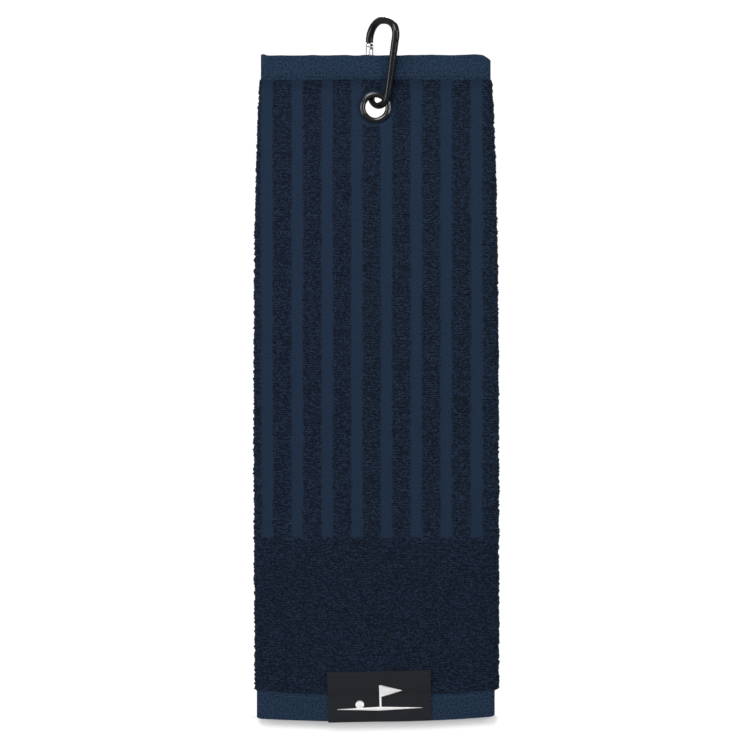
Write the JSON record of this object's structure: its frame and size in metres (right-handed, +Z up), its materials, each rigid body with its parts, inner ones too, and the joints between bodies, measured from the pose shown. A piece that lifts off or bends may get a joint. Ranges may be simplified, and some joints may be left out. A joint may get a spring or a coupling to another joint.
{
  "type": "golf towel",
  "caption": "Terry golf towel folded lengthwise in three, with a grommet, a woven bottom label and a snap hook with a sprung gate.",
  "frame": {"origin": "inside of the snap hook's top bend, where a bag's ring bears on it", "axes": "+Z up along the hanging towel, +Y towards its back, +X across it to the right when its front is faced"},
  "size_m": [0.1494, 0.0248, 0.4318],
  "materials": {
    "terry": "navy cotton terry with flat-woven stripes and hems",
    "hem_thread": "navy sewing thread",
    "label_cloth": "tightly woven black",
    "embroidery": "white satin stitch",
    "grommet_metal": "polished gunmetal plate",
    "hook_metal": "glossy black anodised",
    "gate_metal": "polished bright",
    "steel": "plain steel"
  },
  "bodies": {
    "hook": {"hook_body": "hook_metal", "gate_rivet": "steel"},
    "gate": {"gate": "gate_metal", "latch_pin": "steel", "gate_spring": "steel", "gate_plunger": "steel"},
    "towel": {"towel_cloth": "terry", "grommet_eyelet": "grommet_metal", "grommet_washer": "grommet_metal", "label": "label_cloth", "label_emblem": "embroidery", "label_thread": "label_cloth", "top_hem_thread": "hem_thread", "bottom_hem_thread_left": "hem_thread", "bottom_hem_thread_right": "hem_thread"},
    "flap": {"back_flap": "terry"}
  },
  "joints": [
    {"name": "gate_pivot", "type": "hinge", "parent": "hook", "child": "gate", "pos_m": [-0.01071, 0.00745, -0.03692], "axis": [0.7844, 0.6157, -0.0755], "range_deg": [0, 22], "stiffness_Nm_per_rad": 0.04, "springref_deg": -28.65},
    {"name": "towel_swing", "type": "hinge", "parent": "hook", "child": "towel", "pos_m": [-0.0064, 0, -0.051], "axis": [0, 1, 0], "range_deg": [-35, 35]},
    {"name": "flap_open", "type": "hinge", "parent": "towel", "child": "flap", "pos_m": [0.0681, 0.0011, -0.069], "axis": [0, 0, -1], "range_deg": [0, 120]}
  ]
}
